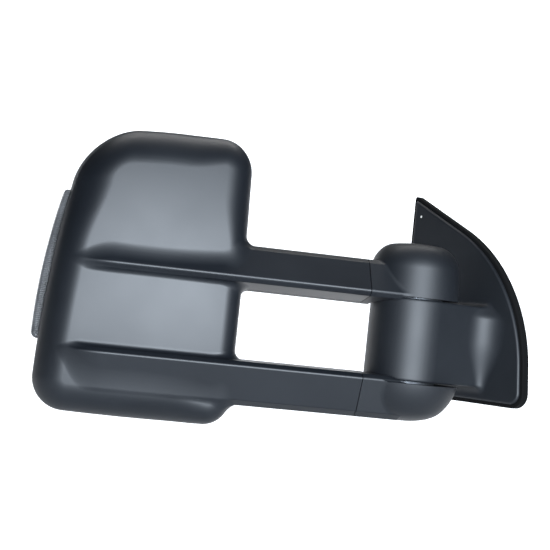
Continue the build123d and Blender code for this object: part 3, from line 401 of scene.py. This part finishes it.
def contour(field, axes):
    """Dual contouring that keeps creases: the vertices, and the quads facing outwards."""
    value = field(*np.meshgrid(*axes, indexing="ij", sparse=True))
    found = zip(*(crossings(field, axes, value, a) for a in range(3)))
    cells, p, n = (np.concatenate(part) for part in found)
    used, where = np.unique(cells.ravel(), return_inverse=True)
    p, n = np.repeat(p, 4, 0), np.repeat(n, 4, 0)
    count = np.bincount(where).astype(float)
    middle = np.stack([np.bincount(where, p[:, i]) for i in range(3)], 1) / count[:, None]
    off = np.einsum("ij,ij->i", n, p - middle[where])
    m = np.empty((len(used), 3, 3))
    rhs = np.empty((len(used), 3))
    for i in range(3):
        rhs[:, i] = np.bincount(where, n[:, i] * off)
        for j in range(3):
            m[:, i, j] = np.bincount(where, n[:, i] * n[:, j])
    m += FLAT_PULL * np.eye(3)
    vert = middle + np.linalg.solve(m, rhs[:, :, None])[:, :, 0]
    index = np.unravel_index(used, tuple(np.array(value.shape) - 1))
    low = np.stack([line[i] for line, i in zip(axes, index)], 1)
    high = np.stack([line[i + 1] for line, i in zip(axes, index)], 1)
    return np.clip(vert, low, high), where.reshape(-1, 4)


def build(name, field, axes, body, node, slot, on_door=False):
    """Contours a field and stands the mesh on a body in place of a CAD node."""
    vert, quads = contour(field, axes)
    corner = vert[quads]
    heart = corner.mean(1, keepdims=True)
    # Normals read a little way into each face keep the creases sharp
    read_at = corner * (1.0 - NORMAL_INSET) + heart * NORMAL_INSET
    normal = slope_of(field, read_at.reshape(-1, 3))
    if on_door:
        vert = vert @ DOOR_TURN
        quads = quads[:, ::-1]
        normal = (normal @ DOOR_TURN).reshape(-1, 4, 3)[:, ::-1].reshape(-1, 3)
    else:
        vert = vert + AXIS
    mesh = bpy.data.meshes.new(name)
    mesh.from_pydata((vert * MM).tolist(), [], quads.tolist())
    mesh.polygons.foreach_set("use_smooth", [True] * len(quads))
    mesh.normals_split_custom_set(normal.tolist())
    mesh.materials.append(bpy.data.materials[slot])
    piece = bpy.data.objects.new(name, mesh)
    bpy.context.scene.collection.objects.link(piece)
    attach(piece, body)
    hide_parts(node)


def build_head():
    sleeve_x = [(-61, SEAM_STEP), (-56.5, SEAM_STEP)]
    xs = steps((-393, 1.1), (-375, 1.2), (-340, 1.2), (-325, 1.9), (-225, 1.9), (-204, 1.1),
               (-184, 1.1), (-172, 2.2), (-70, 2.2), *sleeve_x)
    ys = steps((-49, 0.9), (-30, 1.1), (-7, 1.1))
    zs = steps((-110, 1.1), (-94, 1.4), (-86, 1.0), (-78, 1.0), (-66, 1.6), (-50, 1.2), (-43.5, 0.6),
               (-37, 1.0), (-28, 2.2), (24, 2.2), (32, 1.0), (42, 0.8), (46.5, 0.6), (52, 1.2),
               (62, 1.5), (75, 1.1), (82, 1.1), (92, 2.2), (112, 2.2), (130, 1.4), (192, 1.1))
    build("front_shell", front_field, (xs, ys, zs), "head", "front_housing", "cap_plastic")

    xs = steps((-393, 1.1), (-368, 1.4), (-340, 1.5), (-225, 2.2), (-204, 1.2),
               (-184, 1.1), (-172, 2.4), (-70, 2.4), *sleeve_x)
    ys = steps((-9, 1.1), (9, 1.2), (14, 2.2), (28, 2.2), (36, 1.4), (56, 2.2), (62, 1.0), (67.5, 1.0))
    zs = steps((-110, 1.1), (-86, 1.2), (-78, 1.4), (-50, 1.4), (-44, 0.9), (-37, 1.0), (-24, 1.4),
               (-19, 0.9), (-4, 0.9), (8, 2.2), (24, 2.2), (32, 1.0), (40, 1.2), (70, 1.4), (82, 1.1),
               (92, 2.2), (106, 2.0), (124, 1.2), (192, 1.1))
    build("rear_shell", rear_field, (xs, ys, zs), "head", "rear_housing", "bezel_plastic")

    axes = (steps((-398, 0.9), (-371, 1.2)), steps((-2, 0.9), (27, 0.9)),
            steps((-39, RIB_STEP), (118, RIB_STEP)))
    build("lens_shell", lens_field, axes, "head", "lamp_lens", "lens_smoke")


def build_arm():
    axes = (steps((-58.5, SEAM_STEP), (-52, 1.1), (51, 1.2)), steps((-51, 1.0), (51, 1.3)),
            steps((31, 1.0), (50, 1.0), (70, 1.4), (80, 1.1), (105, 1.1)))
    build("upper_cover", upper_knuckle_field, axes, "arm", "upper_knuckle_cover", "cover_plastic")
    axes = (steps((-60, SEAM_STEP), (-52, 1.1), (60, 1.3)), steps((-60, 1.1), (60, 1.3)),
            steps((-92, 1.1), (-60, 1.4), (-36, 0.9)))
    build("lower_cover", lower_knuckle_field, axes, "arm", "lower_knuckle_cover", "cover_plastic")


def build_base():
    axes = (steps((-81.5, 1.0), (-72, 1.9), (-46, 1.2), (-30, 1.5), (46, 1.3), (78, 1.6), (103, 1.0)),
            steps((4, 1.0), (14, 1.0), (30, 1.6), (90, 1.7), (129.5, 1.1)),
            steps((-60.5, 1.0), (-45, 1.0), (-30, 1.9), (30, 1.9), (46, 1.0), (100, 2.2), (165, 1.2)))
    build("sail_cover", cover_field, axes, "base", "base_cover", "cover_plastic", on_door=True)
    axes = (steps((-83.5, 1.0), (-68, 1.4), (78, 1.4), (105, 1.0)), steps((-1, 0.9), (10.5, 0.9)),
            steps((-62.5, 1.0), (-45, 1.4), (140, 1.6), (166.5, 1.0)))
    build("sail_gasket", gasket_field, axes, "base", "base_gasket", "gasket_rubber", on_door=True)


build_head()
build_arm()
build_base()


# ------------------------------------------------------------------ camera
def look(eye, yaw, pitch, roll, lens):
    """Stands the camera at eye, millimetres from the fold axis, with its turns in degrees."""
    cam = bpy.data.cameras.new("camera")
    cam.lens = lens
    cam.sensor_width = 36.0
    cam.clip_start, cam.clip_end = 0.05, 50.0
    obj = bpy.data.objects.new("camera", cam)
    bpy.context.scene.collection.objects.link(obj)
    yaw, pitch, roll = math.radians(yaw), math.radians(pitch), math.radians(roll)
    ahead = Vector((math.sin(yaw) * math.cos(pitch), math.cos(yaw) * math.cos(pitch), math.sin(pitch)))
    right = Vector((math.cos(yaw), -math.sin(yaw), 0.0))
    up = right.cross(ahead)
    right, up = (right * math.cos(roll) + up * math.sin(roll), up * math.cos(roll) - right * math.sin(roll))
    pose = Matrix((right, up, -ahead)).transposed().to_4x4()
    pose.translation = Vector((np.array(eye) + AXIS) * MM)
    obj.matrix_world = pose
    bpy.context.scene.camera = obj


look((-440.0, -1470.0, 0.0), yaw=11.11, pitch=2.03, roll=6.0, lens=93.6)


# ------------------------------------------------------------------ materials
class Nodes:
    """Adds nodes to one slot's material."""

    def __init__(self, slot):
        mat = bpy.data.materials[slot]
        mat.use_nodes = True
        self.tree = mat.node_tree
        self.tree.nodes.clear()
        self.bsdf = self.add("ShaderNodeBsdfPrincipled")
        self.wire(self.bsdf.outputs["BSDF"], self.add("ShaderNodeOutputMaterial").inputs["Surface"])
        self.place = self.add("ShaderNodeTexCoord").outputs["Object"]

    def add(self, kind, **settings):
        node = self.tree.nodes.new(kind)
        for key, value in settings.items():
            setattr(node, key, value)
        return node

    def wire(self, source, target):
        self.tree.links.new(source, target)

    def noise(self, scale, detail=3.0, stretch=(1.0, 1.0, 1.0), rough=0.5):
        """Noise in object space; scale counts features per metre."""
        turn = self.add("ShaderNodeMapping")
        turn.inputs["Scale"].default_value = stretch
        self.wire(self.place, turn.inputs["Vector"])
        node = self.add("ShaderNodeTexNoise")
        node.inputs["Scale"].default_value = scale
        node.inputs["Detail"].default_value = detail
        node.inputs["Roughness"].default_value = rough
        self.wire(turn.outputs["Vector"], node.inputs["Vector"])
        return node.outputs["Fac"]

    def pits(self, scale):
        node = self.add("ShaderNodeTexVoronoi")
        node.inputs["Scale"].default_value = scale
        self.wire(self.place, node.inputs["Vector"])
        return node.outputs["Distance"]

    def ramp(self, source, low, high, out_low, out_high):
        node = self.add("ShaderNodeMapRange")
        for key, value in (("From Min", low), ("From Max", high), ("To Min", out_low), ("To Max", out_high)):
            node.inputs[key].default_value = value
        self.wire(source, node.inputs["Value"])
        return node.outputs["Result"]

    def blend(self, factor, dark, light):
        node = self.add("ShaderNodeMix", data_type="RGBA")
        node.inputs["A"].default_value = (*dark, 1.0)
        node.inputs["B"].default_value = (*light, 1.0)
        self.wire(factor, node.inputs["Factor"])
        return node.outputs["Result"]

    def sum(self, a, b, weight):
        """a + b * weight."""
        node = self.add("ShaderNodeMath", operation="MULTIPLY_ADD")
        self.wire(b, node.inputs[0])
        node.inputs[1].default_value = weight
        self.wire(a, node.inputs[2])
        return node.outputs["Value"]

    def relief(self, height, strength, depth):
        """A bump that is depth millimetres deep."""
        node = self.add("ShaderNodeBump")
        node.inputs["Strength"].default_value = strength
        node.inputs["Distance"].default_value = depth * MM
        self.wire(height, node.inputs["Height"])
        self.wire(node.outputs["Normal"], self.bsdf.inputs["Normal"])

    def finish(self, color, rough, **fixed):
        self.wire(color, self.bsdf.inputs["Base Color"])
        self.wire(rough, self.bsdf.inputs["Roughness"])
        for key, value in fixed.items():
            self.bsdf.inputs[key.replace("_", " ")].default_value = value


def moulded(slot, dark, light, rough, grain, depth, ior=1.5):
    """Moulded plastic or rubber: fine pitted grain, and tone and sheen that vary in clouds."""
    n = Nodes(slot)
    cloud = n.noise(9.0, 4.0)
    fine = n.noise(grain, 2.0, rough=0.65)
    tone = n.sum(cloud, fine, 0.35)
    color = n.blend(n.ramp(tone, 0.45, 0.95, 0.0, 1.0), dark, light)
    sheen = n.sum(n.ramp(cloud, 0.3, 0.7, rough - 0.03, rough + 0.03), fine, 0.06)
    n.relief(n.sum(n.pits(grain * 0.8), fine, 0.6), 1.0, depth)
    n.finish(color, sheen, IOR=ior)


def metal(slot, dark, light, rough, stretch, scale, depth=0.01, metallic=1.0):
    """Metal with drawn or cast marks that vary its tone and its shine."""
    n = Nodes(slot)
    marks = n.noise(scale, 4.0, stretch)
    stain = n.noise(35.0, 5.0)
    tone = n.sum(marks, stain, 0.6)
    color = n.blend(n.ramp(tone, 0.5, 1.1, 0.0, 1.0), dark, light)
    n.relief(marks, 0.6, depth)
    n.finish(color, n.ramp(tone, 0.5, 1.1, rough + 0.12, rough - 0.06), Metallic=metallic)


moulded("cap_plastic", (0.0028, 0.0040, 0.0062), (0.0052, 0.0070, 0.0100), 0.43, 2600.0, 0.012)
moulded("cover_plastic", (0.0032, 0.0044, 0.0066), (0.0058, 0.0076, 0.0104), 0.50, 2600.0, 0.012)
moulded("bezel_plastic", (0.0050, 0.0056, 0.0066), (0.0090, 0.0098, 0.0112), 0.50, 2200.0, 0.016)
moulded("frame_plastic", (0.030, 0.030, 0.032), (0.042, 0.042, 0.045), 0.46, 900.0, 0.02)
moulded("white_plastic", (0.62, 0.60, 0.55), (0.74, 0.72, 0.67), 0.36, 700.0, 0.01)
moulded("gasket_rubber", (0.0012, 0.0012, 0.0014), (0.0030, 0.0030, 0.0033), 0.85, 1500.0, 0.03, ior=1.25)
moulded("lead_sheath", (0.010, 0.010, 0.011), (0.020, 0.020, 0.021), 0.55, 1200.0, 0.02)
moulded("board_green", (0.010, 0.070, 0.026), (0.020, 0.120, 0.045), 0.30, 500.0, 0.01)
moulded("led_amber", (0.80, 0.42, 0.06), (0.95, 0.60, 0.12), 0.22, 500.0, 0.004)
moulded("film_grey", (0.085, 0.070, 0.050), (0.130, 0.110, 0.085), 0.40, 800.0, 0.006)
metal("die_cast", (0.10, 0.105, 0.115), (0.18, 0.19, 0.205), 0.56, (1.0, 1.0, 1.0), 420.0, 0.03)
metal("rail_steel", (0.014, 0.014, 0.016), (0.030, 0.030, 0.034), 0.34, (0.05, 1.0, 1.0), 600.0, 0.01, 0.35)
metal("bright_steel", (0.46, 0.46, 0.44), (0.66, 0.66, 0.63), 0.26, (1.0, 1.0, 0.12), 700.0, 0.008)
metal("spring_steel", (0.14, 0.14, 0.15), (0.26, 0.26, 0.27), 0.30, (1.0, 1.0, 1.0), 500.0, 0.008)


def smoked_lens():
    """Smoked lens: dark where it is seen straight on, with a painted sheen that turns it lighter grey
    towards grazing angles.
    """
    n = Nodes("lens_smoke")
    haze = n.noise(45.0, 4.0)
    fine = n.noise(1800.0, 2.0)
    # Painted sheen: the facing term lightens the colour where the lens is seen edge-on
    edge = n.add("ShaderNodeLayerWeight")
    edge.inputs["Blend"].default_value = 0.28
    tone = n.sum(n.ramp(haze, 0.3, 0.7, 0.0, 0.35), edge.outputs["Facing"], 0.75)
    color = n.blend(tone, (0.045, 0.045, 0.046), (0.20, 0.20, 0.205))
    n.relief(fine, 0.4, 0.006)
    n.finish(color, n.ramp(haze, 0.3, 0.7, 0.17, 0.27), Transmission_Weight=0.12, IOR=1.49)


def mirror_glass():
    """Silvered glass with a faint blue cast and a little dust film."""
    n = Nodes("mirror_silver")
    dust = n.noise(60.0, 6.0)
    speck = n.noise(900.0, 2.0)
    tone = n.sum(dust, speck, 0.2)
    color = n.blend(n.ramp(tone, 0.5, 0.9, 0.0, 1.0), (0.80, 0.83, 0.86), (0.88, 0.90, 0.92))
    n.finish(color, n.ramp(tone, 0.5, 0.9, 0.015, 0.07), Metallic=1.0)


smoked_lens()
mirror_glass()


# ------------------------------------------------------------------ light and set, in metres
BACKDROP_GLOW = 0.62
FLOOR_Z, FLOOR_FRONT_Y, CURVE_Y, CURVE_R, TOP_Z, HALF_WIDTH = -0.30, -1.0, 1.5, 1.2, 1.2, 3.2


def studio_world(color, strength):
    world = bpy.data.worlds.new("studio")
    bpy.context.scene.world = world
    world.use_nodes = True
    background = world.node_tree.nodes["Background"]
    background.inputs["Color"].default_value = color
    background.inputs["Strength"].default_value = strength


def area(name, place, aim, size, power, color=(1, 1, 1)):
    light = bpy.data.lights.new(name, "AREA")
    light.shape = "RECTANGLE"
    light.size, light.size_y = size
    light.energy = power
    light.color = color
    obj = bpy.data.objects.new(name, light)
    obj.location = place
    obj.rotation_mode = "QUATERNION"
    obj.rotation_quaternion = (Vector(aim) - Vector(place)).to_track_quat("-Z", "Y")
    bpy.context.scene.collection.objects.link(obj)


def sweep_white():
    """White paper that gives off light behind the mirror and none in front of it."""
    mat = bpy.data.materials.new("sweep_white")
    mat.use_nodes = True
    tree = mat.node_tree
    bsdf = tree.nodes["Principled BSDF"]
    tone = tree.nodes.new("ShaderNodeTexNoise")
    tone.inputs["Scale"].default_value = 3.0
    mix = tree.nodes.new("ShaderNodeMix")
    mix.data_type = "RGBA"
    mix.inputs["A"].default_value = (0.86, 0.88, 0.91, 1)
    mix.inputs["B"].default_value = (0.90, 0.92, 0.95, 1)
    tree.links.new(tone.outputs["Fac"], mix.inputs["Factor"])
    tree.links.new(mix.outputs["Result"], bsdf.inputs["Base Color"])
    bsdf.inputs["Roughness"].default_value = 0.9
    bsdf.inputs["Specular IOR Level"].default_value = 0.0
    bsdf.inputs["Emission Color"].default_value = (1.0, 1.0, 1.0, 1.0)
    glow = tree.nodes.new("ShaderNodeMapRange")
    for key, value in (("From Min", 0.05), ("From Max", 0.3), ("To Min", 0.0), ("To Max", BACKDROP_GLOW)):
        glow.inputs[key].default_value = value
    where = tree.nodes.new("ShaderNodeSeparateXYZ")
    tree.links.new(tree.nodes.new("ShaderNodeTexCoord").outputs["Object"], where.inputs["Vector"])
    tree.links.new(where.outputs["Y"], glow.inputs["Value"])
    tree.links.new(glow.outputs["Result"], bsdf.inputs["Emission Strength"])
    return mat


def sweep_set():
    """A pale floor that curves up into the backdrop."""
    profile = [(FLOOR_FRONT_Y, FLOOR_Z), (CURVE_Y, FLOOR_Z)]
    for turn in np.linspace(0, math.pi / 2, 24)[1:]:
        profile.append((CURVE_Y + CURVE_R * math.sin(turn), FLOOR_Z + CURVE_R * (1 - math.cos(turn))))
    profile.append((CURVE_Y + CURVE_R, TOP_Z))
    verts = [(x, y, z) for y, z in profile for x in (-HALF_WIDTH, HALF_WIDTH)]
    faces = [(2 * i, 2 * i + 1, 2 * i + 3, 2 * i + 2) for i in range(len(profile) - 1)]
    mesh = bpy.data.meshes.new("sweep")
    mesh.from_pydata(verts, [], faces)
    mesh.polygons.foreach_set("use_smooth", [True] * len(faces))
    mesh.materials.append(sweep_white())
    obj = bpy.data.objects.new("sweep", mesh)
    bpy.context.scene.collection.objects.link(obj)


studio_world((0.93, 0.96, 1.0, 1.0), 0.05)
sweep_set()
area("front_box", (0.02, -2.35, 0.12), (-0.25, 0.0, 0.02), (1.6, 0.9), 155, (0.81, 0.90, 1.0))
area("sweep_wash", (0.0, 1.0, 2.6), (0.0, 2.4, 0.4), (2.6, 0.6), 60)
bpy.context.scene.view_settings.view_transform = "Standard"
